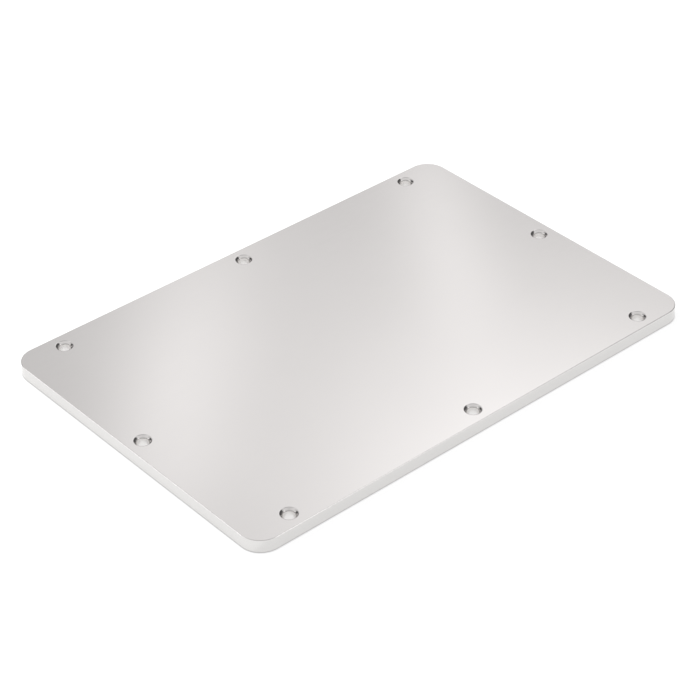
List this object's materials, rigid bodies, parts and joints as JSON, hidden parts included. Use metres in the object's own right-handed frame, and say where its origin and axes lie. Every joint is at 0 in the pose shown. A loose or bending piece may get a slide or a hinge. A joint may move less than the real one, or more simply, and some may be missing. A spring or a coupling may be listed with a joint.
{
  "type": "rectangular cover plate",
  "caption": "Flat rectangular metal cover plate with rounded corners and countersunk screw holes along its rim.",
  "frame": {"origin": "centre of the plate's underside, the face that lies on what it covers", "axes": "+X along the long sides, +Y along the short sides, +Z out of the countersunk face"},
  "size_m": [0.236, 0.16, 0.006],
  "materials": {
    "plate_steel": "fine satin stainless steel"
  },
  "bodies": {
    "root": {"cover_plate": "plate_steel"}
  },
  "joints": []
}
